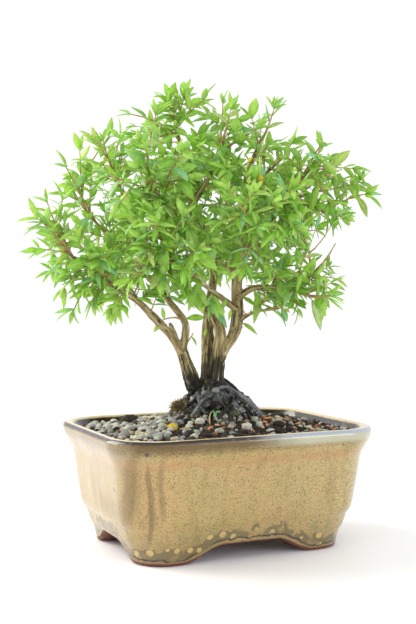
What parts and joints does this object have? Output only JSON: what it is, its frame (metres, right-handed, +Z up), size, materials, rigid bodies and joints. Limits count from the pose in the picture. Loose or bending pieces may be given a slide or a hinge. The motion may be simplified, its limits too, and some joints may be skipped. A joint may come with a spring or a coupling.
{
  "type": "serissa bonsai",
  "caption": "Serissa bonsai with several stems and an airy crown of small leaves, in a glazed rectangular stoneware pot on corner feet.",
  "frame": {"origin": "under the middle of the whole plant's outer box, on the surface that the pot stands on; the pot's own middle is 10.6 mm along +X and 4.2 mm along -Y from it", "axes": "+Z up; X along the pot's long side; the pot's front faces -Y and the tree's front is turned 24.6 degrees from it, towards -X"},
  "size_m": [0.1926, 0.1676, 0.2546],
  "materials": {
    "glaze": "glossy ochre glaze with crackle",
    "screen": "matt",
    "soil": "rough, crumbly compost with granules",
    "wood": "rough grey-brown bark",
    "leaf": "satin green leaf"
  },
  "bodies": {
    "root": {"pot": "glaze", "drain_screen_left": "screen", "drain_screen_right": "screen", "soil": "soil", "trunk": "wood", "spray_01": "leaf", "spray_02": "leaf", "spray_03": "leaf", "spray_04": "leaf", "spray_05": "leaf", "spray_06": "leaf", "spray_07": "leaf", "spray_08": "leaf", "spray_09": "leaf", "spray_10": "leaf", "spray_11": "leaf", "spray_12": "leaf", "spray_13": "leaf", "spray_14": "leaf", "spray_15": "leaf", "spray_16": "leaf", "spray_17": "leaf", "spray_18": "leaf", "spray_19": "leaf", "spray_20": "leaf", "spray_21": "leaf", "spray_22": "leaf", "spray_23": "leaf", "spray_24": "leaf", "spray_25": "leaf", "spray_26": "leaf", "spray_27": "leaf", "spray_28": "leaf", "spray_29": "leaf", "spray_30": "leaf", "spray_31": "leaf", "spray_32": "leaf", "spray_33": "leaf", "spray_34": "leaf", "spray_35": "leaf", "spray_36": "leaf", "spray_37": "leaf", "spray_38": "leaf", "spray_39": "leaf", "spray_40": "leaf", "spray_41": "leaf", "spray_42": "leaf", "spray_43": "leaf"}
  },
  "joints": []
}
